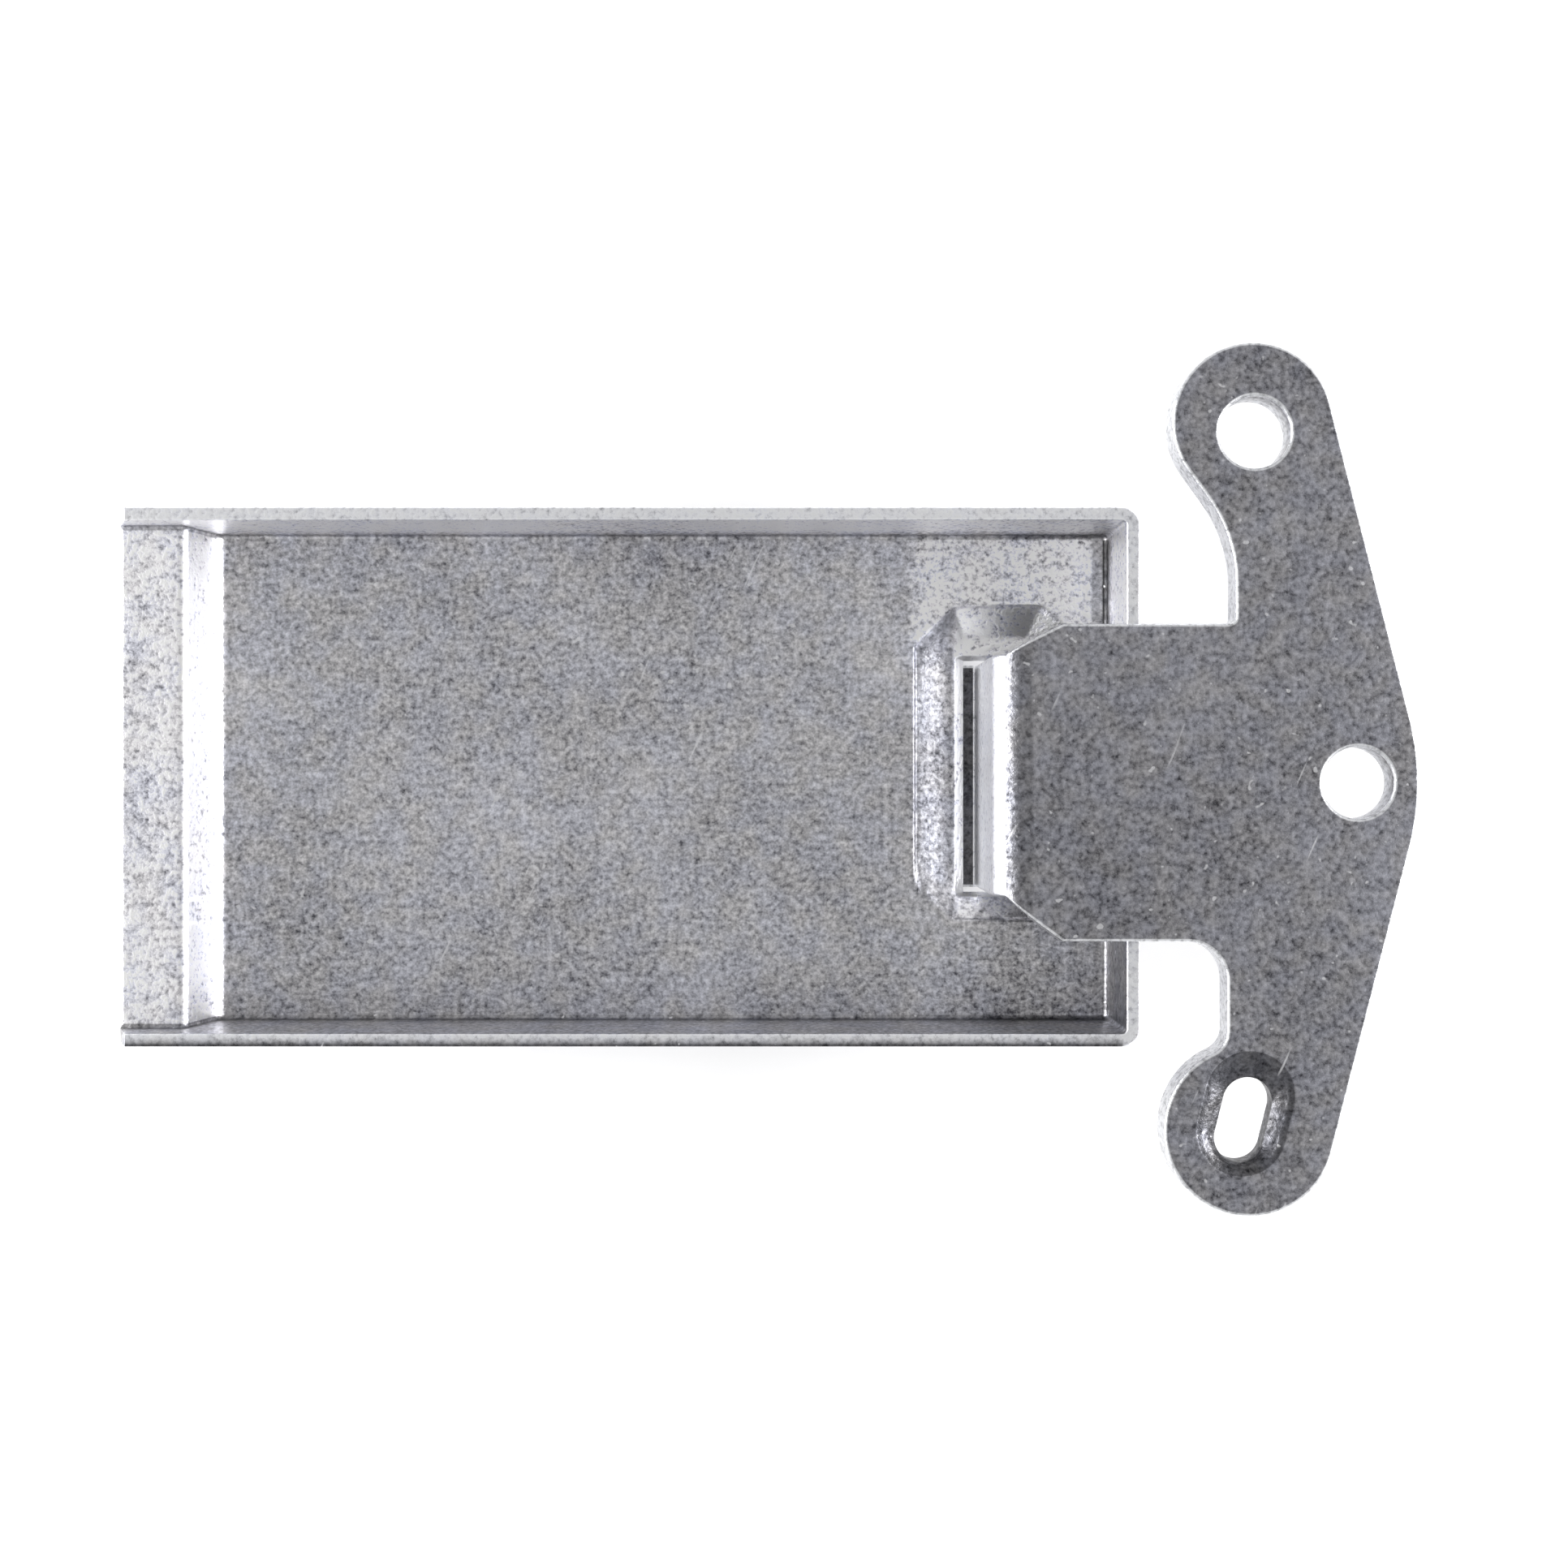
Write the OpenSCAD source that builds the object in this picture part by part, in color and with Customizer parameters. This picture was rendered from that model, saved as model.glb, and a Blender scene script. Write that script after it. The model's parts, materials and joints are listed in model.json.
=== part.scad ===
// Two-piece stamped latch: a T-shaped mounting plate whose bent tongue hooks
// through a slot in a shallow pressed arm, so that the arm swings on it.
// Millimetres. Origin on the apex hole's axis at the plate's back face,
// +X away from the arm, +Z out of the plate's front face.

/* [Mounting plate] */
// Thickness of the plate's sheet
plate_t = 2.5; // [2.2:0.1:2.7]
// Width of the stem that crosses the arm's end wall
stem_w = 24.4; // [23:0.1:25]
// Radius of the two round fixing holes
hole_r = 2.75; // [2.2:0.05:3.2]
// Half width of the oblong hole
oblong_r = 1.9; // [1.6:0.1:2.1]
// Distance between the centres of the oblong hole's round ends
oblong_travel = 2.8; // [2:0.1:3.2]
// Width of the coined bevel round the oblong hole
coin_w = 1.5; // [1.2:0.1:1.7]
// Depth of the coined bevel
coin_depth = 0.9; // [0.6:0.1:1.1]

/* [Tongue] */
// Width of the tongue that passes through the slot
tongue_w = 18.8; // [17.5:0.1:19]
// Inside radius of the tongue's two bends
bend_r = 0.3; // [0.2:0.1:0.5]
// Length of the hook under the arm, past its bend
hook_reach = 3.2; // [2.5:0.1:3.6]

/* [Latch arm] */
// Thickness of the arm's sheet
arm_t = 1; // [0.9:0.05:1.1]
// Width of the arm over its side walls
arm_w = 42; // [41:0.5:43]
// Length of the arm from the lip's free edge to the end wall
arm_len = 80.6; // [78:0.2:84]
// Height of the walls above the web's upper face
wall_h = 9; // [8.5:0.1:9.5]
// Height of the catch lip above the web's upper face
lip_h = 5.6; // [5:0.1:6]
// Length of the flat catch lip
lip_len = 5.2; // [4.6:0.1:6]
// Outside radius of the arm's folds
fold_r = 1.4; // [1.2:0.1:1.6]

/* [Slot pocket] */
// Depth of the pressed pocket below the web
pocket_depth = 1.5; // [1.2:0.1:1.7]
// Slot opening along the arm
slot_len = 4.7; // [4.5:0.1:5]
// Slot opening across the arm
slot_w = 19.4; // [19.3:0.1:20]

/* [Hidden] */
$fn = 64;

// Gap between the plate's back face and the walls' rims at rest
rest_gap = 0.1;
web_top = -rest_gap - wall_h;
web_bottom = web_top - arm_t;
floor_top = web_top - pocket_depth;
floor_bottom = floor_top - arm_t;

// Tongue: its left face, the centre of its sheet and the hook under the arm;
// the slot and the tongue sit a little above the stem's centre line
slot_mid_y = 0.55;
tongue_left = -27.75;
tongue_x = tongue_left + plate_t / 2;
outer_r = bend_r + plate_t;
hook_gap = 0.4;
hook_top = floor_bottom - hook_gap;
stem_flat_end = tongue_left + outer_r;

// Chamfers that narrow the stem to the tongue: they start on the flat stem and
// end part of the way round the first bend
chamfer_start = -22.6;
chamfer_end_angle = 45;
bend_steps = 6;
chamfer_flat = chamfer_start - stem_flat_end;
chamfer_bent = outer_r * chamfer_end_angle * PI / 180;
chamfer_drop = (stem_w - tongue_w) / 2;

// Ears and holes of the plate
upper_ear = [-8.05, 27.5];
upper_ear_r = 6.2;
lower_ear = [-8.3, -26.6];
lower_ear_r = 6.6;
upper_hole = [-7.9, 26.8];
lower_hole = [-8.6, -25.9];
coin_centre = [-8.6, -25.3];
oblong_tilt = 14;

// The right edge runs straight from each ear to an arc round the apex
apex_x = 4.75;
apex_r = 20;
apex_centre = [apex_x - apex_r, 0];

// Necks between the ears and the stem
neck_corner_r = 0.5;
upper_neck_x = -9.4;
upper_neck_r = 11;
upper_neck_turn = 36;
lower_neck_x = -10.05;
lower_corner_r = 3;
ear_fillet_r = 1.8;

// Arm: its centre line, the end wall, the riser up to the lip, and the lip's free edge
arm_mid_y = 0.45;
end_outer = -16.2;
end_inner = end_outer - arm_t;
arm_left = end_outer - arm_len;
lip_right = arm_left + lip_len;
riser_run = 1.4;
web_left = lip_right + riser_run;
lip_top = web_top + lip_h;
rim_left = arm_left + 1.6;
inner_fold_r = fold_r - arm_t;

// Pocket: its outline at the web, the width of its slopes and its cut corners
pocket_left = -33.2;
pocket_right = -19.2;
pocket_low = -11.4;
pocket_high = 14.7;
slope_run = 3.2;
side_slope_run = 2.6;
corner_cut = 3.4;

// Points along an arc, either way round, about every six degrees
function arc(centre, r, from, to) = [
    for (i = [0 : arc_steps(from, to)]) centre + r * unit(from + (to - from) * i / arc_steps(from, to))
];
function arc_steps(from, to) = ceil(abs(to - from) / 6);
function unit(angle) = [cos(angle), sin(angle)];

// Prism along X over a Y-Z outline, and along Y over an X-Z outline
module along_x(from, to) {
    translate([from, 0, 0]) rotate([90, 0, 90]) linear_extrude(to - from) children();
}
module along_y(from, to) {
    translate([0, to, 0]) rotate([90, 0, 0]) linear_extrude(to - from) children();
}

// ---- mounting plate ----

// Share of the chamfers still to come at an angle round the first bend
function chamfer_left(angle) =
    max(0, chamfer_bent - outer_r * angle * PI / 180) / (chamfer_bent + chamfer_flat);

// Y of the sheet's edge on one side, 1 or -1, at an angle round the first bend
function edge_y(side, angle) =
    slot_mid_y * (1 - chamfer_left(angle)) + side * (tongue_w / 2 + chamfer_drop * chamfer_left(angle));

// Angle at which a straight edge from the apex arc touches an ear's circle
function tangent_angle(ear, r) =
    let (reach = [ear.x - apex_centre.x, abs(ear.y)])
    atan2(reach.y, reach.x) - acos((apex_r - r) / norm(reach));

// Outline of the whole plate in plan, anticlockwise from the apex arc
function plate_points() =
    let (
        half = stem_w / 2,
        upper_edge = tangent_angle(upper_ear, upper_ear_r),
        lower_edge = tangent_angle(lower_ear, lower_ear_r),
        upper_leave = 180 + upper_neck_turn,
        neck_x = upper_neck_x - upper_neck_r,
        neck_along = (neck_x - upper_ear.x) * cos(upper_neck_turn),
        neck_drop = (upper_ear_r + upper_neck_r + neck_along) / sin(upper_neck_turn),
        corner = lower_neck_x - lower_corner_r,
        fillet_x = lower_neck_x - ear_fillet_r,
        fillet_reach = lower_ear_r + ear_fillet_r,
        fillet_turn = acos((fillet_x - lower_ear.x) / fillet_reach),
        fillet = [fillet_x, lower_ear.y + fillet_reach * sin(fillet_turn)]
    )
    concat(
        arc(apex_centre, apex_r, -lower_edge, upper_edge),
        arc(upper_ear, upper_ear_r, upper_edge, upper_leave),
        arc([neck_x, upper_ear.y - neck_drop], upper_neck_r, upper_neck_turn, 0),
        arc([upper_neck_x - neck_corner_r, half + neck_corner_r], neck_corner_r, 0, -90),
        [[chamfer_start, half], [stem_flat_end, edge_y(1, 0)]],
        [[stem_flat_end, edge_y(-1, 0)], [chamfer_start, -half]],
        arc([corner, -half - lower_corner_r], lower_corner_r, 90, 0),
        arc(fillet, ear_fillet_r, 0, fillet_turn - 180),
        arc(lower_ear, lower_ear_r, fillet_turn, 360 - lower_edge)
    );

module oblong(r) {
    translate(lower_hole) rotate(-oblong_tilt) {
        for (side = [-1, 1]) translate([0, side * oblong_travel / 2]) circle(r = r);
        square([2 * r, oblong_travel], center = true);
    }
}

// Coined bevel: one cone drawn out along the oblong hole and set a little above
// its middle, reaching below the bevel's foot so that it cuts the wall cleanly
module coined_bevel() {
    slope = coin_w / coin_depth;
    under = 0.4;
    over = 0.2;
    translate([coin_centre.x, coin_centre.y, plate_t - coin_depth - under]) rotate(-oblong_tilt) hull()
        for (side = [-1, 1]) translate([0, side * oblong_travel / 2, 0])
            cylinder(
                h = under + coin_depth + over,
                r1 = oblong_r - under * slope,
                r2 = oblong_r + coin_w + over * slope,
                $fn = 48
            );
}

// Sheet that follows the stem's end: down round the first bend, through the
// slot and left round the second bend to the hook's tip
module tongue() {
    down = [stem_flat_end, plate_t - outer_r];
    under = [tongue_left - bend_r, hook_top + bend_r];
    quarter = [for (i = [0 : bend_steps]) 90 * i / bend_steps];
    // each station: the sheet's left or outer surface, its other surface, and the bend's angle
    stations = concat(
        [for (a = quarter) [down + outer_r * unit(90 + a), down + bend_r * unit(90 + a), a]],
        [for (a = quarter) [under + bend_r * unit(-a), under + outer_r * unit(-a), 90]],
        [[[under.x - hook_reach, hook_top], [under.x - hook_reach, hook_top - plate_t], 90]]
    );
    count = len(stations);
    points = [
        for (s = stations)
            let (low = edge_y(-1, s[2]), high = edge_y(1, s[2]))
            each [
                [s[0].x, low, s[0].y],
                [s[1].x, low, s[1].y],
                [s[1].x, high, s[1].y],
                [s[0].x, high, s[0].y]
            ]
    ];
    faces = concat(
        [[3, 2, 1, 0]],
        [
            for (k = [0 : count - 2], side = [0 : 3])
                let (a = 4 * k + side, b = 4 * k + (side + 1) % 4)
                each [[a, b + 4, a + 4], [a, b, b + 4]]
        ],
        [[for (side = [0 : 3]) 4 * (count - 1) + side]]
    );
    polyhedron(points, faces);
}

module mounting_plate() {
    color([0.48, 0.48, 0.5]) {
        difference() {
            linear_extrude(plate_t) polygon(plate_points());
            for (at = [[0, 0], upper_hole]) translate([at.x, at.y, -1]) cylinder(h = plate_t + 2, r = hole_r);
            translate([0, 0, -1]) linear_extrude(plate_t + 2) oblong(oblong_r);
            coined_bevel();
        }
        tongue();
    }
}

// ---- latch arm ----

// Cross-section of the tray: a box with its two lower corners rounded
module tray_section(width, bottom, r) {
    height = 2 - bottom;
    translate([0, bottom + height / 2]) square([width - 2 * r, height], center = true);
    translate([0, bottom + r + (height - r) / 2]) square([width, height - r], center = true);
    for (side = [-1, 1]) translate([side * (width / 2 - r), bottom + r]) circle(r = r);
}

// Side outline of the sheet's lower surface and everything above it
module side_outer() {
    polygon([
        [arm_left, lip_top - arm_t],
        [lip_right + arm_t * 0.4, lip_top - arm_t],
        [web_left - arm_t * 0.5, web_bottom + fold_r * 0.5],
        [web_left + fold_r * 0.3, web_bottom],
        [end_outer - fold_r, web_bottom],
        [end_outer - fold_r, web_bottom + fold_r],
        [end_outer, web_bottom + fold_r],
        [end_outer, -rest_gap],
        [rim_left, -rest_gap],
        [arm_left, lip_top]
    ]);
    translate([end_outer - fold_r, web_bottom + fold_r]) circle(r = fold_r);
}

// Side outline of the space over the web, the riser and the lip
module side_inner() {
    over = 3;
    r = inner_fold_r;
    polygon([
        [arm_left - over, lip_top],
        [lip_right - 0.4, lip_top],
        [lip_right, lip_top - 0.4],
        [web_left - 0.1, web_top + 0.4],
        [web_left + 0.3, web_top],
        [end_inner - r, web_top],
        [end_inner - r, web_top + r],
        [end_inner, web_top + r],
        [end_inner, over],
        [arm_left - over, over]
    ]);
    translate([end_inner - r, web_top + r]) circle(r = r);
}

// Octagonal frustum that narrows downwards, from the web to the pocket's floor
module pocket_form(top, bottom, grow) {
    share = (top - bottom) / pocket_depth;
    mid = [(pocket_left + pocket_right) / 2, (pocket_low + pocket_high) / 2];
    half = [(pocket_right - pocket_left) / 2 + grow, (pocket_high - pocket_low) / 2 + grow];
    diagonal = (half.x + half.y - corner_cut) / sqrt(2);
    // each pair of opposite slopes: its direction, its reach from the middle and its width
    turned = [
        [0, half.x, slope_run],
        [90, half.y, side_slope_run],
        [45, diagonal, side_slope_run],
        [-45, diagonal, side_slope_run]
    ];
    translate([mid.x, mid.y, 0]) intersection_for (side = turned)
        rotate(side[0]) along_y(-40, 40) polygon([
            [-side[1], top],
            [side[1], top],
            [side[1] - share * side[2], bottom],
            [-side[1] + share * side[2], bottom]
        ]);
}

module latch_arm() {
    side = arm_w / 2;
    inner_w = arm_w - 2 * arm_t;
    over = 0.02;
    color([0.66, 0.66, 0.68]) difference() {
        union() {
            translate([0, arm_mid_y, 0]) difference() {
                intersection() {
                    along_x(arm_left, end_outer) tray_section(arm_w, web_bottom, fold_r);
                    along_y(-side, side) side_outer();
                }
                intersection() {
                    along_x(arm_left - 1, end_inner) tray_section(inner_w, web_top, inner_fold_r);
                    along_y(-side, side) side_inner();
                }
            }
            pocket_form(web_bottom + over, floor_bottom, arm_t * 0.5);
        }
        pocket_form(web_top + over, floor_top, 0);
        translate([tongue_x - slot_len / 2, slot_mid_y - slot_w / 2, floor_bottom - 1])
            cube([slot_len, slot_w, pocket_depth + arm_t + 2]);
    }
}

mounting_plate();
latch_arm();
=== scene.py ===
"""Looks of a two-piece stamped latch: a hooked T-shaped plate and the pressed arm that swings on it.

Lengths are millimetres until a mesh is made, in the CAD frame: origin at the apex hole on the
plate's back face, +X away from the arm, +Z out of the plate's front.
"""

import json
import math

import bmesh
import bpy
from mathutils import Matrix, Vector


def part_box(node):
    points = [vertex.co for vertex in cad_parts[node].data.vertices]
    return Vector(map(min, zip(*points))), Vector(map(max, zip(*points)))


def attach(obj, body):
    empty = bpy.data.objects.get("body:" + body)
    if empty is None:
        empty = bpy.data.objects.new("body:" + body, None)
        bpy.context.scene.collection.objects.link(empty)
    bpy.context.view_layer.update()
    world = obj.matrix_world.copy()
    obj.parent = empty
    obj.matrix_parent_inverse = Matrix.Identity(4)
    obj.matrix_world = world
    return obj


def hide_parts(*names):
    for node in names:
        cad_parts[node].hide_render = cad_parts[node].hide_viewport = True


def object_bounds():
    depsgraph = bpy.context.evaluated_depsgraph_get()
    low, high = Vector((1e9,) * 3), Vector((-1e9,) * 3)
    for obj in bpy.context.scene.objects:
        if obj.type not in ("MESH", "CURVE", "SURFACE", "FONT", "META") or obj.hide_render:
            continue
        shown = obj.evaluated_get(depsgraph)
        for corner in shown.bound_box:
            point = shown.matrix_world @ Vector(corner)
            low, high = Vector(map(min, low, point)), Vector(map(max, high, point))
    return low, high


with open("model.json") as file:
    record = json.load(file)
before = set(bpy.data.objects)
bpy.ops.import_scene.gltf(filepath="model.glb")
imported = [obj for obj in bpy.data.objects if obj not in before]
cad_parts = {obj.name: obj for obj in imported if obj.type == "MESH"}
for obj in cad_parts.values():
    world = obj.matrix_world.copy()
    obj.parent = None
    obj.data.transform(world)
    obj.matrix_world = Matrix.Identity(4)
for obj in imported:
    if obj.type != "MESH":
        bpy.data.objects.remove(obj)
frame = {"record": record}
cad_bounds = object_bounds()
MM = 0.001


def box_mm(node):
    """Lowest and highest corner of a CAD node in millimetres."""
    return tuple(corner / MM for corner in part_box(node))


# ---------------------------------------------------------------- driving dimensions

plate_low, plate_high = box_mm("mounting_plate")
arm_low, arm_high = box_mm("latch_arm")

# Mounting plate
PLATE_T = plate_high.z
STEM_HALF = 12.2
TONGUE_HALF = 9.4
TONGUE_MID_Y = 0.55
BEND_R = 0.3
OUTER_R = BEND_R + PLATE_T
TONGUE_LEFT = -27.75
FLAT_END = TONGUE_LEFT + OUTER_R
CHAMFER_START = -22.6
CHAMFER_END_ANGLE = math.radians(45)
HOOK_TOP = plate_low.z + PLATE_T
HOOK_REACH = TONGUE_LEFT - BEND_R - plate_low.x
APEX_X = plate_high.x
APEX_R = 20.0
UPPER_EAR, UPPER_EAR_R = (-8.05, 27.5), 6.2
LOWER_EAR, LOWER_EAR_R = (-8.3, -26.6), 6.6
UPPER_NECK_X, UPPER_NECK_R, UPPER_NECK_TURN = -9.4, 11.0, 36.0
NECK_CORNER_R = 0.5
LOWER_NECK_X, LOWER_CORNER_R, EAR_FILLET_R = -10.05, 3.0, 1.8

# Holes: the round ones come from the record's mounts
HOLES = [
    (Vector(m["pos_m"]) / MM, m["dims"]["r_mm"])
    for m in frame["record"]["mounts"]
    if m["kind"] == "bore"
]
OBLONG = (-8.6, -25.9)
OBLONG_R, OBLONG_TRAVEL, OBLONG_TILT = 1.9, 2.8, math.radians(14)
COIN = (-8.6, -25.3)
COIN_W, COIN_DEPTH, COIN_RIPPLE = 1.5, 0.9, 0.035

# Rounding of the punched edges: rolled over on the front, nearly sharp on the back
EDGE_ROLL = 0.26
HOLE_ROLL = 0.28
EDGE_BURR = 0.1
EDGE_FLARE = 0.04
SUPPORT = 0.07

# Painted shade (below 0) and painted highlight (above 0): shares by which parts of the plate are darker or
# lighter than its plain plating
HOOK_PAINTED_SHADE, BEND_PAINTED_SHADE, COIN_PAINTED_SHADE = -0.7, -0.25, -0.6
OUTER_BEND_PAINTED_SHADE, TONGUE_PAINTED_HIGHLIGHT = -0.4, 2.4

# Angles round the tongue's first bend where its painted shade and its painted highlight start
HIGHLIGHT_START = math.radians(46)
SHADE_START = HIGHLIGHT_START / 3

# Latch arm
ARM_T = 1.0
ARM_MID_Y = (arm_low.y + arm_high.y) / 2
SIDE = (arm_high.y - arm_low.y) / 2
RIM = arm_high.z
END_OUTER = arm_high.x
ARM_LEFT = arm_low.x
WALL_H = 9.0
WEB_TOP = RIM - WALL_H
WEB_LOW = WEB_TOP - ARM_T
LIP_H, LIP_LEN = 5.6, 5.2
LIP_TOP = WEB_TOP + LIP_H
LIP_RIGHT = ARM_LEFT + LIP_LEN

# The riser's foot lies 0.4 mm nearer the lip than the CAD solid's
RISER_RUN = 1.0
WEB_LEFT = LIP_RIGHT + RISER_RUN

RIM_SETBACK = 1.6
FOLD_R = 1.4
INNER_FOLD_R = FOLD_R - ARM_T
RIM_ROLL = 0.14
LIP_ROLL = 0.2
LIP_SAG = 0.22
WEB_DISH = 0.35

# Pocket round the slot
POCKET_X, POCKET_Y = (-33.2, -19.2), (-11.4, 14.7)
POCKET_DEPTH, SLOPE_RUN, SIDE_SLOPE_RUN, CORNER_CUT = 1.5, 3.2, 2.6, 3.4
SLOT_X = TONGUE_LEFT + PLATE_T / 2
SLOT_LEN, SLOT_W, SLOT_MID_Y = 4.7, 19.4, TONGUE_MID_Y
SLOT_ROLL, SLOT_END_ROLL, SLOT_DROP, SLOT_EASE = 0.85, 0.4, 0.78, 0.08

# Painted shade (below 0) and painted light and highlights (above 0): shares by which parts of the arm are
# darker or lighter than its plain plating
FOLD_PAINTED_SHADE, END_WALL_PAINTED_SHADE, RIM_PAINTED_HIGHLIGHT, LOW_RIM_PAINTED_SHADE = -0.5, -0.45, 0.6, -0.8
SLOPE_PAINTED_SHADE, CREASE_PAINTED_SHADE, LIP_PAINTED_HIGHLIGHT, RISER_AND_END_PAINTED_HIGHLIGHT, UPPER_WALL_PAINTED_HIGHLIGHT = -0.25, -0.9, 0.65, 1.2, 1.1
UPPER_WEB_PAINTED_LIGHT, LOWER_WEB_PAINTED_LIGHT, SLOT_RIM_PAINTED_HIGHLIGHT, POCKET_END_PAINTED_LIGHT = 0.85, 0.1, 1.0, 0.5

# Texture scales per metre, and the height of the grain in metres
GRAIN_SCALE = 2300.0
BLOTCH_SCALE = 850.0
CLOUD_SCALE = 70.0
TINT_SCALE = 380.0
FLECK_SCALE = 1500.0
SCRATCH_SCALE = 160.0
RELIEF = 0.0001

# Plating: how much of the mottle each texture makes, its roughness, its bright marks, and its worn edges
# with painted highlights
GRAIN_SHARE, BLOTCH_SHARE, CLOUD_SHARE = 0.78, 0.22, 0.2
ROUGHNESS = 0.38
MARK_SHARE, MARK_COLOUR = 0.55, (0.9, 0.9, 0.92, 1)
WEAR_AND_HIGHLIGHT_SHARE, WEAR_AND_HIGHLIGHT_COLOUR = 0.75, (0.88, 0.89, 0.91, 1)
SCRATCH_ANGLE, SCRATCH_NARROWING = 1.15, 0.07


# ---------------------------------------------------------------- small geometry helpers

def unit(degrees):
    """Unit vector at an angle in the plan."""
    a = math.radians(degrees)
    return Vector((math.cos(a), math.sin(a)))


def arc(centre, r, start, end, step=4.0):
    """Points along an arc, either way round."""
    count = max(2, math.ceil(abs(end - start) / step))
    return [Vector(centre) + r * unit(start + (end - start) * i / count) for i in range(count + 1)]


def inset(loop, distance):
    """The closed loop moved to its left by a distance, with mitred corners."""
    moved = []
    for i, point in enumerate(loop):
        before = (point - loop[i - 1]).normalized()
        after = (loop[(i + 1) % len(loop)] - point).normalized()
        left = (Vector((-before.y, before.x)) + Vector((-after.y, after.x))).normalized()
        mitre = max(0.4, left.dot(Vector((-before.y, before.x))))
        moved.append(point + left * (distance / mitre))
    return moved


def quarter(steps):
    """Angles from 0 to 90 degrees in radians."""
    return [math.pi / 2 * i / steps for i in range(steps + 1)]


def spread(start, end, step):
    """Evenly spaced numbers from start to end, about one step apart."""
    count = max(1, math.ceil(abs(end - start) / step))
    return [start + (end - start) * i / count for i in range(count + 1)]


def merged(*runs, gap=0.02):
    """Sorted numbers of several runs, without near repeats."""
    out = []
    for value in sorted(v for run in runs for v in run):
        if not out or value - out[-1] > gap:
            out.append(value)
    return out


def piece_from(name, bm, material, body, replaced):
    """Finishes a mesh built in millimetres as a visible piece, with flat faces and hard corners."""
    bmesh.ops.recalc_face_normals(bm, faces=bm.faces)
    bmesh.ops.scale(bm, vec=(MM, MM, MM), verts=bm.verts)
    mesh = bpy.data.meshes.new(name)
    bm.to_mesh(mesh)
    bm.free()
    mesh.shade_smooth()
    mesh.set_sharp_from_angle(angle=math.radians(38))
    obj = bpy.data.objects.new(name, mesh)
    bpy.context.scene.collection.objects.link(obj)
    weighted = obj.modifiers.new("flat_faces", "WEIGHTED_NORMAL")
    weighted.keep_sharp = True
    weighted.weight = 80
    mesh.materials.append(material)
    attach(obj, body)
    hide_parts(replaced)
    return obj


# ---------------------------------------------------------------- materials

def feed(tree, socket, value):
    """Links a socket to another socket, or sets its value."""
    if isinstance(value, bpy.types.NodeSocket):
        tree.links.new(value, socket)
    else:
        socket.default_value = value


def node_maker(tree):
    """Returns a short function that adds a node, sets its properties and feeds its inputs."""
    def add(kind, inputs=None, **properties):
        node = tree.nodes.new(kind)
        for key, value in properties.items():
            setattr(node, key, value)
        for key, value in (inputs or {}).items():
            feed(tree, node.inputs[key], value)
        return node
    return add


def ramp_maker(add):
    """Returns a short function that adds a ramp through (position, grey level or colour) stops."""
    def ramp(value, stops):
        node = add("ShaderNodeValToRGB", {"Fac": value})
        elements = node.color_ramp.elements
        while len(elements) < len(stops):
            elements.new(0.5)
        for element, (position, level) in zip(elements, stops):
            colour = (level, level, level) if isinstance(level, float) else level
            element.position = position
            element.color = (*colour, 1)
        return node.outputs["Color"]
    return ramp


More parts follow.
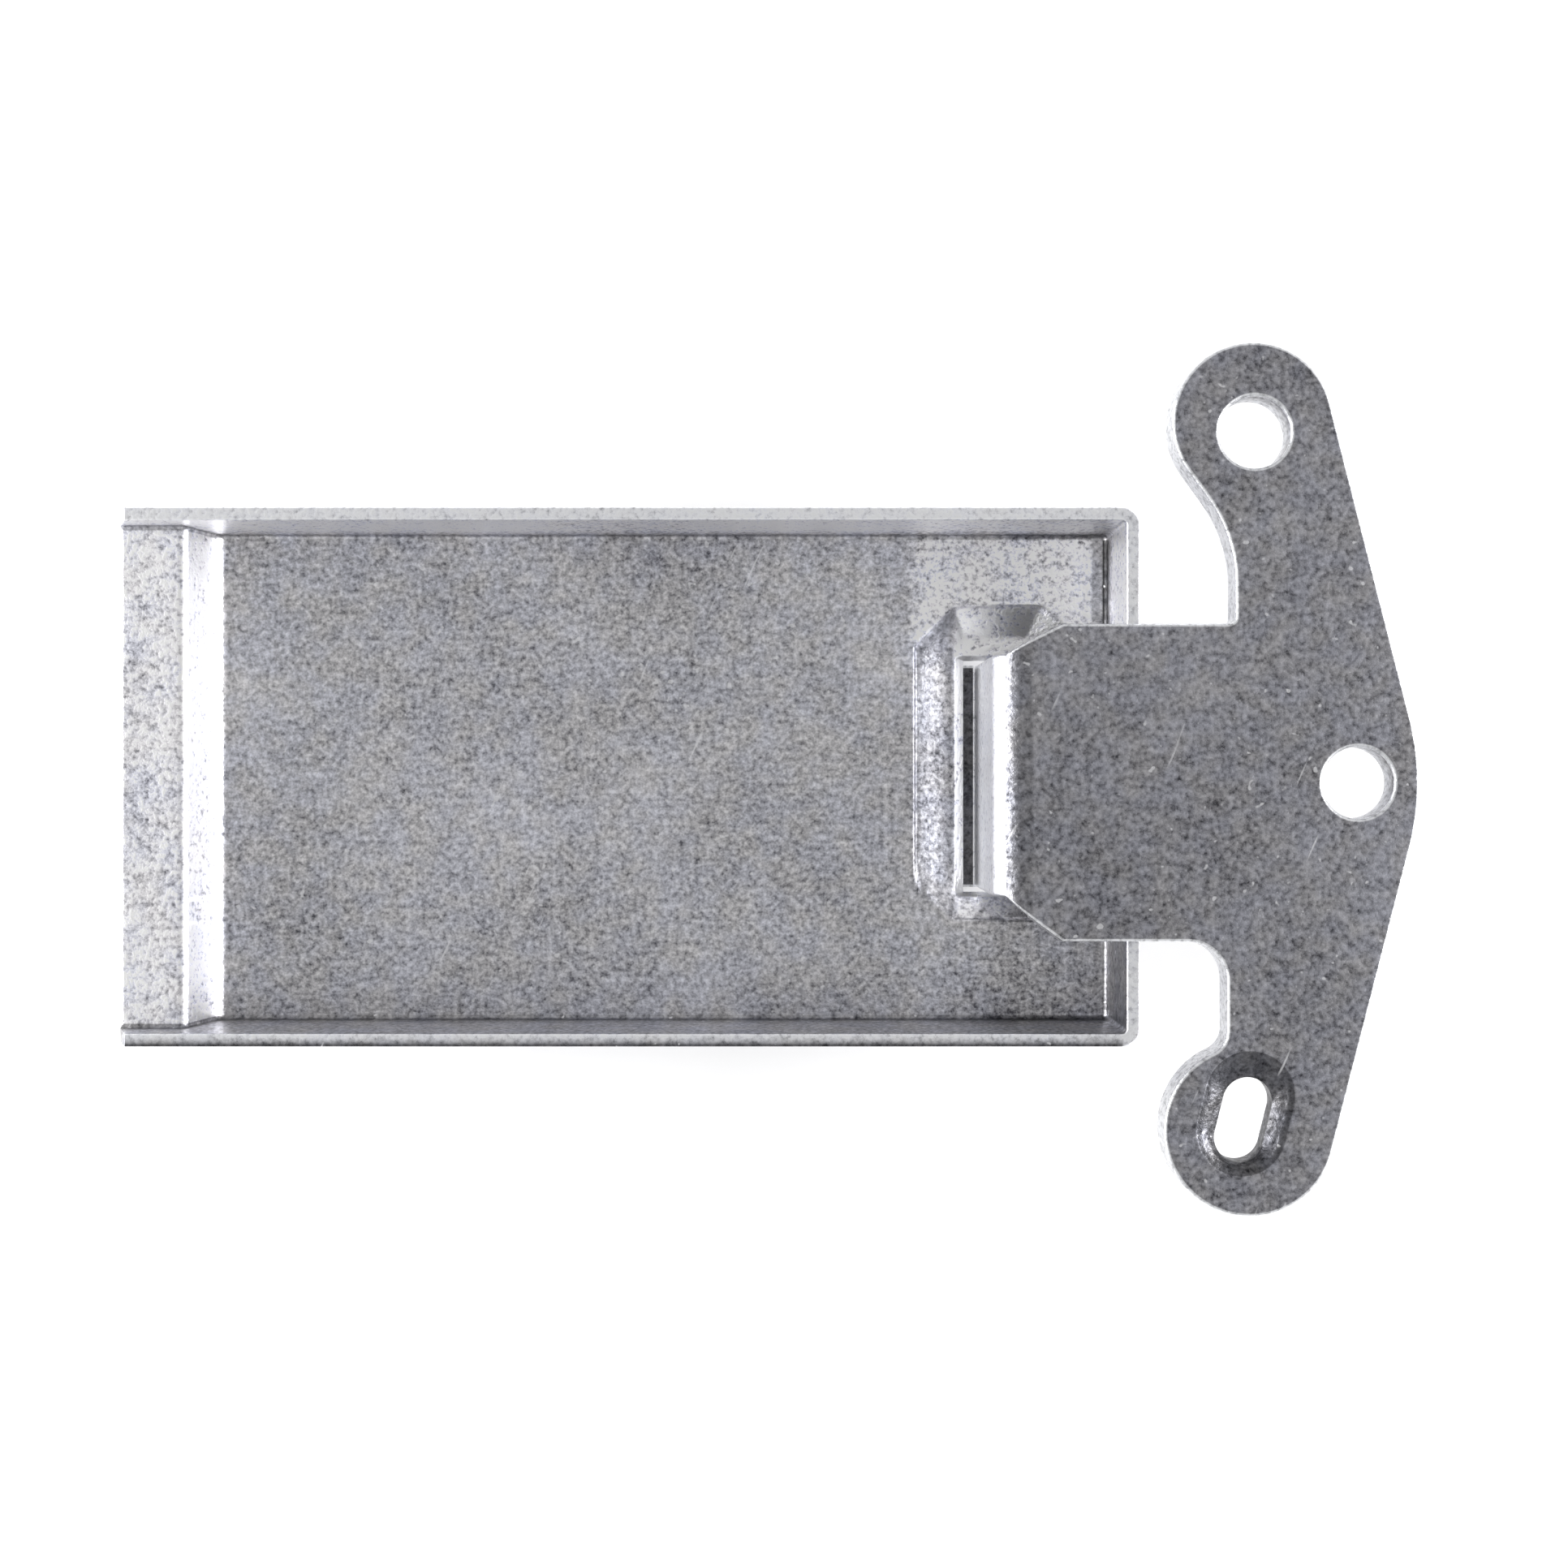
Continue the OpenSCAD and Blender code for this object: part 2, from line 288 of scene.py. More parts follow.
def zinc(name, dark, light, fleck_share):
    """Matt zinc plating: a fine mottle, cloudy patches, bright flecks, light scratches, worn edges with
    painted highlights, and painted light and shade from the mesh.
    """
    material = bpy.data.materials.new(name)
    material.use_nodes = True
    tree = material.node_tree
    tree.nodes.clear()
    add = node_maker(tree)
    ramp = ramp_maker(add)
    place = add("ShaderNodeTexCoord").outputs["Object"]

    def noise(scale, detail=2.0, roughness=0.6, source=place):
        inputs = {"Vector": source, "Scale": scale, "Detail": detail, "Roughness": roughness}
        return add("ShaderNodeTexNoise", inputs).outputs["Fac"]

    def math_node(operation, a, b):
        node = add("ShaderNodeMath", operation=operation)
        for socket, value in zip(node.inputs, (a, b)):
            feed(tree, socket, value)
        return node.outputs[0]

    def mix(factor, a, b, blend="MIX"):
        node = add("ShaderNodeMix", data_type="RGBA", blend_type=blend, clamp_result=True)
        for key, value in (("Factor", factor), ("A", a), ("B", b)):
            feed(tree, next(s for s in node.inputs if s.name == key and s.enabled), value)
        return next(s for s in node.outputs if s.enabled)

    grain = noise(GRAIN_SCALE, 3.0, 0.65)
    blotch = noise(BLOTCH_SCALE, 2.0, 0.55)
    cloud = noise(CLOUD_SCALE, 2.0, 0.5)
    grain_part = math_node("MULTIPLY", grain, GRAIN_SHARE)
    blotch_part = math_node("MULTIPLY", blotch, BLOTCH_SHARE)
    cloud_part = math_node("MULTIPLY", math_node("SUBTRACT", cloud, 0.5), CLOUD_SHARE)
    mottle = math_node("ADD", math_node("ADD", grain_part, blotch_part), cloud_part)
    colour = ramp(mottle, [(0.30, dark), (0.70, light)])
    tint = ramp(noise(TINT_SCALE, 1.0), [(0.35, (1.0, 0.985, 0.97)), (0.65, (0.965, 0.975, 1.03))])
    colour = mix(1.0, colour, tint, "MULTIPLY")
    # Painted light and shade: the colour is multiplied by one plus the mesh's share of painted light and
    # shade
    painted_light_and_shade = add("ShaderNodeAttribute", attribute_name="painted_light_and_shade").outputs["Fac"]
    colour = mix(1.0, colour, math_node("ADD", painted_light_and_shade, 1.0), "MULTIPLY")

    flecks = ramp(noise(FLECK_SCALE, 1.0, 0.5), [(fleck_share, 0.0), (fleck_share + 0.05, 1.0)])
    lengthened = {"Vector": place, "Rotation": (0, 0, SCRATCH_ANGLE), "Scale": (1, SCRATCH_NARROWING, 1)}
    stretched = add("ShaderNodeMapping", lengthened, vector_type="TEXTURE")
    streaks = noise(SCRATCH_SCALE, 1.0, 0.5, stretched.outputs["Vector"])
    scratches = ramp(streaks, [(0.75, 0.0), (0.82, 1.0)])
    marks = math_node("MAXIMUM", flecks, scratches)
    colour = mix(math_node("MULTIPLY", marks, MARK_SHARE), colour, MARK_COLOUR)

    # Edge wear together with painted highlight: the pale wear colour on rolled edges, on the rims and on
    # the tongue's upright face
    wear_and_highlight_mask = add("ShaderNodeAttribute", attribute_name="wear_and_highlight").outputs["Fac"]
    worn_and_lit = math_node("MULTIPLY", wear_and_highlight_mask, ramp(grain, [(0.3, 0.45), (0.55, 1.0)]))
    colour = mix(math_node("MULTIPLY", worn_and_lit, WEAR_AND_HIGHLIGHT_SHARE), colour, WEAR_AND_HIGHLIGHT_COLOUR)

    shine = ramp(mottle, [(0.3, ROUGHNESS + 0.08), (0.7, ROUGHNESS - 0.06)])
    relief = add("ShaderNodeBump", {"Height": mottle, "Strength": 0.7, "Distance": RELIEF})
    shader = add(
        "ShaderNodeBsdfPrincipled",
        {"Base Color": colour, "Roughness": shine, "Metallic": 1.0, "Normal": relief.outputs["Normal"]},
    )
    add("ShaderNodeOutputMaterial", {"Surface": shader.outputs["BSDF"]})
    return material


plate_zinc = zinc("plate_zinc_plating", (0.05, 0.05, 0.056), (0.53, 0.53, 0.56), 0.72)
arm_zinc = zinc("arm_zinc_plating", (0.10, 0.10, 0.112), (0.92, 0.92, 0.95), 0.71)


# ---------------------------------------------------------------- mounting plate

def tangent_angle(ear, r):
    """Angle at which a straight edge from the apex arc touches an ear's circle."""
    reach = Vector((ear[0] - (APEX_X - APEX_R), abs(ear[1])))
    return math.degrees(math.atan2(reach.y, reach.x) - math.acos((APEX_R - r) / reach.length))


def edge_y(side, u):
    """Edge of the developed sheet on one side, 1 or -1, u millimetres beyond the flat stem's end."""
    bent_part = OUTER_R * CHAMFER_END_ANGLE
    left = max(0.0, bent_part - u) / (bent_part + CHAMFER_START - FLAT_END)
    return TONGUE_MID_Y * (1 - left) + side * (TONGUE_HALF + (STEM_HALF - TONGUE_HALF) * left)


# Developed lengths of a bend and of the upright part, and where the hook begins
BEND_LEN = OUTER_R * math.pi / 2
DROP_LEN = (PLATE_T - OUTER_R) - (HOOK_TOP + BEND_R)
HOOK_START = 2 * BEND_LEN + DROP_LEN


def tongue_stations():
    """Distances along the developed tongue: round both bends, between them, and to the tip."""
    first = spread(0, BEND_LEN, 0.28)
    drop = spread(BEND_LEN, BEND_LEN + DROP_LEN, 2.0)
    second = spread(BEND_LEN + DROP_LEN, HOOK_START, 0.28)
    tip = [HOOK_START + HOOK_REACH]
    return merged(first, [OUTER_R * CHAMFER_END_ANGLE], drop, second, tip)


def bent(point):
    """Moves a point of the developed sheet onto the bent one."""
    x, y, z = point
    u = FLAT_END - x
    if u <= 0:
        return Vector((x, y, z))
    from_inside = BEND_R + z
    if u <= BEND_LEN:
        a = u / OUTER_R
        left = FLAT_END - from_inside * math.sin(a)
        height = PLATE_T - OUTER_R + from_inside * math.cos(a)
        return Vector((left, y, height))
    u -= BEND_LEN
    if u <= DROP_LEN:
        return Vector((TONGUE_LEFT + PLATE_T - z, y, PLATE_T - OUTER_R - u))
    u -= DROP_LEN
    centre = Vector((TONGUE_LEFT - BEND_R, y, HOOK_TOP + BEND_R))
    from_inside = BEND_R + PLATE_T - z
    a = min(u / OUTER_R, math.pi / 2)
    over = max(0.0, u - BEND_LEN)
    return centre + Vector((from_inside * math.cos(a) - over, 0, -from_inside * math.sin(a)))


def plate_loop():
    """Developed outline, anticlockwise: right of the chamfers, upper tongue edge, lower tongue edge."""
    upper_edge = tangent_angle(UPPER_EAR, UPPER_EAR_R)
    lower_edge = tangent_angle(LOWER_EAR, LOWER_EAR_R)
    turn = UPPER_NECK_TURN
    neck_x = UPPER_NECK_X - UPPER_NECK_R
    along = (neck_x - UPPER_EAR[0]) * math.cos(math.radians(turn))
    neck_drop = (UPPER_EAR_R + UPPER_NECK_R + along) / math.sin(math.radians(turn))
    fillet_x = LOWER_NECK_X - EAR_FILLET_R
    reach = LOWER_EAR_R + EAR_FILLET_R
    fillet_turn = math.degrees(math.acos((fillet_x - LOWER_EAR[0]) / reach))
    fillet = (fillet_x, LOWER_EAR[1] + reach * math.sin(math.radians(fillet_turn)))
    corner = (LOWER_NECK_X - LOWER_CORNER_R, -STEM_HALF - LOWER_CORNER_R)
    small = NECK_CORNER_R
    right = (
        arc(corner, LOWER_CORNER_R, 90, 0, 8)
        + arc(fillet, EAR_FILLET_R, 0, fillet_turn - 180, 8)
        + arc(LOWER_EAR, LOWER_EAR_R, fillet_turn, 360 - lower_edge)[1:]
        + arc((APEX_X - APEX_R, 0), APEX_R, -lower_edge, upper_edge, 2)
        + arc(UPPER_EAR, UPPER_EAR_R, upper_edge, 180 + turn)
        + arc((neck_x, UPPER_EAR[1] - neck_drop), UPPER_NECK_R, turn, 0)
        + arc((UPPER_NECK_X - small, STEM_HALF + small), small, 0, -90, 15)
    )
    us = [FLAT_END - CHAMFER_START] + tongue_stations()
    upper = [Vector((FLAT_END - u, edge_y(1, u))) for u in us]
    lower = [Vector((FLAT_END - u, edge_y(-1, u))) for u in reversed(us)]
    return right, upper, lower


def rolled_profile(roll, burr, flare):
    """(inset, height) pairs of a punched edge, from the front face over the wall to the back face."""
    top = [(flare + roll * (1 - math.sin(a)), PLATE_T - roll * (1 - math.cos(a))) for a in quarter(6)]
    low = [(burr * (1 - math.cos(a)), burr * (1 - math.sin(a))) for a in quarter(3)]
    return [(flare + roll + SUPPORT, PLATE_T)] + top + low + [(burr + SUPPORT, 0.0)]


def oblong_loop(centre, r, travel):
    """Oblong outline, clockwise, tilted like the lower hole."""
    tilt = math.degrees(OBLONG_TILT)
    along = unit(90 - tilt) * travel / 2
    middle = Vector(centre)
    upper_end = arc(middle + along, r, 180 - tilt, -tilt, 7.5)
    lower_end = arc(middle - along, r, -tilt, -180 - tilt, 7.5)
    return upper_end + lower_end


def ring_strip(bm, ring_a, ring_b):
    """Quads between two closed rings of vertices."""
    count = len(ring_a)
    for i in range(count):
        j = (i + 1) % count
        bm.faces.new((ring_a[i], ring_a[j], ring_b[j], ring_b[i]))


def fill_between(bm, boundary_rings, normal):
    """Fills a flat face bounded by an outer ring and its holes."""
    edges = []
    for ring in boundary_rings:
        for i, vertex in enumerate(ring):
            other = ring[(i + 1) % len(ring)]
            edges.append(bm.edges.get((vertex, other)) or bm.edges.new((vertex, other)))
    bmesh.ops.triangle_fill(bm, edges=edges, normal=normal, use_beauty=True)


def coined_rings():
    """Rings of the oblong hole, from the front face down its stepped bevel and wall to the back face."""
    steps = 12
    widest = OBLONG_R + COIN_W
    rings = [(COIN, widest + SUPPORT * 2, PLATE_T), (COIN, widest + SUPPORT, PLATE_T)]
    for i in range(steps + 1):
        t = i / steps
        ripple = COIN_RIPPLE * math.sin(t * math.pi * 6)
        r = OBLONG_R + COIN_W * (1 - t) + ripple * (1 - t)
        centre = [a + (b - a) * t * t for a, b in zip(COIN, OBLONG)]
        rings.append((centre, r, PLATE_T - SUPPORT / 2 - COIN_DEPTH * t ** 1.4))
    rings += [(OBLONG, OBLONG_R, EDGE_BURR), (OBLONG, OBLONG_R + EDGE_BURR / 3, EDGE_BURR / 3)]
    rings += [(OBLONG, OBLONG_R + EDGE_BURR, 0.0), (OBLONG, OBLONG_R + EDGE_BURR + SUPPORT, 0.0)]
    return rings


def make_mounting_plate():
    """T-shaped stamping: a flat sheet with rounded edges and holes, then bent to its tongue and hook."""
    bm = bmesh.new()
    wear_and_highlight = bm.verts.layers.float.new("wear_and_highlight")
    painted_light_and_shade = bm.verts.layers.float.new("painted_light_and_shade")
    right, upper, lower = plate_loop()
    loop = right + upper + lower

    def ring_of(points, height):
        ring = [bm.verts.new((p.x, p.y, height)) for p in points]
        on_roll = PLATE_T - EDGE_ROLL <= height < PLATE_T or 0 < height <= EDGE_BURR
        for vertex in ring:
            vertex[wear_and_highlight] = 1.0 if on_roll else 0.0
        return ring

    outer = [ring_of(inset(loop, d), z) for d, z in rolled_profile(EDGE_ROLL, EDGE_BURR, EDGE_FLARE)]
    for a, b in zip(outer, outer[1:]):
        ring_strip(bm, a, b)

    front_holes, back_holes = [], []
    for centre, r in HOLES:
        circle = list(reversed(arc((centre.x, centre.y), r, 0, 360, 6)[:-1]))
        rings = [ring_of(inset(circle, d), z) for d, z in rolled_profile(HOLE_ROLL, EDGE_BURR, 0.0)]
        for a, b in zip(rings, rings[1:]):
            ring_strip(bm, a, b)
        front_holes.append(rings[0])
        back_holes.append(rings[-1])
    rings = [ring_of(oblong_loop(centre, r, OBLONG_TRAVEL), z) for centre, r, z in coined_rings()]
    # Painted shade on the coined bevel round the oblong hole
    for k, (a, b) in enumerate(zip(rings, rings[1:])):
        ring_strip(bm, a, b)
        for vertex in b:
            vertex[wear_and_highlight] = 0.0
            vertex[painted_light_and_shade] = COIN_PAINTED_SHADE if k else 0.0
    front_holes.append(rings[0])
    back_holes.append(rings[-1])

    # The flat part is filled round the holes; the tongue is one strip of quads
    first_upper = len(right)
    last_lower = len(loop) - 1
    for ring, holes, normal in ((outer[0], front_holes, (0, 0, 1)), (outer[-1], back_holes, (0, 0, -1))):
        flat = ring[: first_upper + 1] + [ring[last_lower]]
        fill_between(bm, [flat] + holes, normal)
        for i in range(len(upper) - 1):
            a, b = first_upper + i, last_lower - i
            bm.faces.new((ring[a], ring[a + 1], ring[b - 1], ring[b]))
    # Painted light and shade along the tongue: painted shade on the hook and round the bend, and a painted
    # highlight in the wear colour on its upright face
    for vertex in bm.verts:
        beyond = FLAT_END - vertex.co.x
        outside = vertex.co.z > PLATE_T / 2
        if beyond > HOOK_START - 1:
            vertex[painted_light_and_shade] = HOOK_PAINTED_SHADE
        elif outside and beyond > OUTER_R * HIGHLIGHT_START:
            vertex[wear_and_highlight] = 1.0
            vertex[painted_light_and_shade] = TONGUE_PAINTED_HIGHLIGHT
        elif outside and beyond > OUTER_R * SHADE_START:
            vertex[painted_light_and_shade] = OUTER_BEND_PAINTED_SHADE
        elif -0.1 < beyond < BEND_LEN:
            vertex[painted_light_and_shade] = BEND_PAINTED_SHADE
        vertex.co = bent(vertex.co)
    return piece_from("plate_stamping", bm, plate_zinc, "plate", "mounting_plate")


# ---------------------------------------------------------------- latch arm

def smooth(t):
    """Eases from 0 to 1."""
    t = min(1.0, max(0.0, t))
    return t * t * (3 - 2 * t)


def pocket_drop(x, y):
    """Depth of the pressed pocket at a point of the web: a crisp edge, then a long slope to its floor."""
    mid = Vector(((POCKET_X[0] + POCKET_X[1]) / 2, (POCKET_Y[0] + POCKET_Y[1]) / 2))
    half = Vector(((POCKET_X[1] - POCKET_X[0]) / 2, (POCKET_Y[1] - POCKET_Y[0]) / 2))
    ax, ay = abs(x - mid.x), abs(y - mid.y)
    diagonal = (half.x + half.y - CORNER_CUT) / math.sqrt(2)
    inside = min(
        (half.x - ax) / SLOPE_RUN,
        (half.y - ay) / SIDE_SLOPE_RUN,
        (diagonal - (ax + ay) / math.sqrt(2)) / SIDE_SLOPE_RUN,
    )
    crisp_width, crisp_share = 0.09, 0.22
    crisp = crisp_share * smooth(inside / crisp_width)
    return POCKET_DEPTH * (crisp + (1 - crisp_share) * smooth((inside + 0.05) / 1.1))


def slot_roll(x, y):
    """How far the pressed-over rim of the slot falls at a point beside it: steep, with a rounded start."""
    beyond_x = max(0.0, abs(x - SLOT_X) - SLOT_LEN / 2) / SLOT_ROLL
    beyond_y = max(0.0, abs(y - SLOT_MID_Y) - SLOT_W / 2) / SLOT_END_ROLL
    into = 1 - min(1.0, math.hypot(beyond_x, beyond_y))
    return SLOT_DROP * (into - SLOT_EASE * (1 - math.exp(-into / SLOT_EASE)))


def lip_droop(x):
    """Sag of the lip towards its free edge."""
    return LIP_SAG * (1 - smooth((x - ARM_LEFT) / (LIP_LEN * 1.4)))


def web_painted_shading(x, y):
    """Painted shade and painted light along the lip, the riser, the web and the pocket."""
    sunk = smooth(pocket_drop(x, y) / 0.5)
    on_left = smooth((POCKET_X[0] + 4 - x) / 0.8)
    near_end = smooth((x - POCKET_X[0] + 1.2) / 2.4) * (1 - sunk * on_left)
    upper_web = UPPER_WEB_PAINTED_LIGHT * smooth((y - 6.5) / 4)
    lower_web = LOWER_WEB_PAINTED_LIGHT * smooth((-y - 9) / 4)
    past_lip = smooth((x - LIP_RIGHT + 0.4) / 0.4)
    # Painted light on the web near the end, painted shade on the pocket's left slope and in the end
    # crease, painted highlights on the lip, the riser and the slot's rim, and painted light at the
    # pocket's end
    parts = (
        near_end * (upper_web + lower_web),
        SLOPE_PAINTED_SHADE * sunk * on_left,
        CREASE_PAINTED_SHADE * smooth((x - END_OUTER + 2.5) / 0.4) * smooth((y - 2) / 3),
        LIP_PAINTED_HIGHLIGHT * (1 - past_lip),
        RISER_AND_END_PAINTED_HIGHLIGHT * past_lip * (1 - smooth((x - WEB_LEFT) / 0.5)),
        SLOT_RIM_PAINTED_HIGHLIGHT * smooth(slot_roll(x, y) / 0.1),
        POCKET_END_PAINTED_LIGHT * sunk * (1 - on_left),
    )
    return sum(parts)


def web_warp(x, y):
    """Slight dishing that pressing the pocket leaves in the web towards the end wall."""
    toward_end = smooth((x + 40) / 22)
    return -WEB_DISH * toward_end * smooth((y + 6) / 26)


def end_path(lower_side):
    """(x, z) points over the lip, down the riser and onto the web, on one side of the sheet."""
    lean = math.atan2(LIP_H, RISER_RUN)
    shift = ARM_T / math.sin(lean) if lower_side else 0.0
    level = ARM_T if lower_side else 0.0
    top_r = 0.4 if lower_side else 0.7
    low_r = 1.3 if lower_side else 1.1
    top_z, low_z = LIP_TOP - level, WEB_TOP - level
    top_corner = Vector((LIP_RIGHT - (shift / 2 if lower_side else 0.0), top_z))
    low_corner = Vector((top_corner.x + (top_z - low_z) / math.tan(lean), low_z))
    turn = -1 if lower_side else 1
    points = [
        Vector((ARM_LEFT + LIP_ROLL * (1 - math.cos(a)), top_z - turn * LIP_ROLL * (1 - math.sin(a))))
        for a in quarter(4)
    ]
    points += [Vector((x, top_z)) for x in spread(ARM_LEFT + LIP_ROLL, top_corner.x - top_r, 0.8)[1:]]
    down = (low_corner - top_corner).normalized()
    for corner, before, after, r in (
        (top_corner, Vector((1, 0)), down, top_r),
        (low_corner, down, Vector((1, 0)), low_r),
    ):
        for i in range(1, 8):
            t = i / 8
            start, end = corner - before * r, corner + after * r
            points.append(start * (1 - t) ** 2 + corner * 2 * t * (1 - t) + end * t ** 2)
    points.append(Vector((WEB_LEFT + 1.2, low_z)))
    return points


def arm_columns():
    """Stations from the lip's free edge to the end fold: (upper x, upper z, lower x, lower z)."""
    upper, lower = end_path(False), end_path(True)
    columns = [(a.x, a.y, b.x, b.y) for a, b in zip(upper, lower)]
    left, right = SLOT_X - SLOT_LEN / 2, SLOT_X + SLOT_LEN / 2
    xs = merged(
        spread(WEB_LEFT + 4, POCKET_X[0] - 0.6, 6.0),
        spread(POCKET_X[0] - 0.4, POCKET_X[0] + 1.2, 0.1),
        spread(POCKET_X[0] + 1.2, left - SLOT_ROLL, 0.3),
        spread(left - SLOT_ROLL, left, 0.07),
        spread(left, right, 1.2),
        spread(right, right + SLOT_ROLL, 0.07),
        spread(right + SLOT_ROLL, POCKET_X[1] + 0.6, 0.3),
        [END_OUTER - FOLD_R - back for back in (1.3, 1.0, 0.7, 0.35, 0)],
    )
    return columns + [(x, WEB_TOP, x, WEB_LOW) for x in xs]


def arm_rows():
    """Stations across the arm, from one web edge to the other."""
    low, high = SLOT_MID_Y - SLOT_W / 2, SLOT_MID_Y + SLOT_W / 2
    return merged(
        [ARM_MID_Y + sign * (SIDE - FOLD_R - back) for sign in (-1, 1) for back in (0, 0.6)],
        spread(ARM_MID_Y - SIDE + FOLD_R + 2, ARM_MID_Y + SIDE - FOLD_R - 2, 3.0),
        spread(POCKET_Y[0] - 0.4, POCKET_Y[0] + 1.0, 0.12),
        spread(POCKET_Y[0] + 1.0, low - SLOT_END_ROLL, 0.3),
        spread(low - SLOT_END_ROLL, low, 0.08),
        spread(low, high, 1.0),
        spread(high, high + SLOT_END_ROLL, 0.08),
        spread(high + SLOT_END_ROLL, POCKET_Y[1] - 1.0, 0.3),
        spread(POCKET_Y[1] - 1.0, POCKET_Y[1] + 0.4, 0.12),
        gap=0.05,
    )


def snapped(values, target):
    """Moves the value nearest a target onto it exactly."""
    nearest = min(range(len(values)), key=lambda i: abs(values[i] - target))
    values[nearest] = target


def wall_profile(upper_z, lower_z, rim):
    """Matched inner and outer (depth from the outer face, height) points, from web to rim."""
    inner = [
        (FOLD_R - INNER_FOLD_R * math.sin(a), upper_z + INNER_FOLD_R * (1 - math.cos(a)))
        for a in quarter(5)
    ]
    outer = [(FOLD_R * (1 - math.sin(a)), lower_z + FOLD_R * (1 - math.cos(a))) for a in quarter(5)]
    for share in (0.35, 0.7):
        inner.append((ARM_T, upper_z + INNER_FOLD_R + share * (rim - RIM_ROLL - upper_z - INNER_FOLD_R)))
        outer.append((0.0, lower_z + FOLD_R + share * (rim - RIM_ROLL - lower_z - FOLD_R)))
    for a in quarter(5):
        roll = RIM_ROLL * (1 - math.cos(a))
        height = rim - RIM_ROLL * (1 - math.sin(a))
        inner.append((ARM_T - roll, height))
        outer.append((roll, height))
    return inner[1:], outer[1:]


def raked(x, z):
    """Moves the walls' free end back above the lip, less and less further along the arm."""
    above_lip = max(0.0, z - LIP_TOP) / (RIM - LIP_TOP)
    return x + RIM_SETBACK * above_lip * (1 - smooth((x - ARM_LEFT) / 9))


# A cell's neighbours: cells along, cells across, and the two grid corners that they share
NEIGHBOURS = (
    (1, 0, (1, 0), (1, 1)),
    (-1, 0, (0, 0), (0, 1)),
    (0, 1, (0, 1), (1, 1)),
    (0, -1, (0, 0), (1, 0)),
)


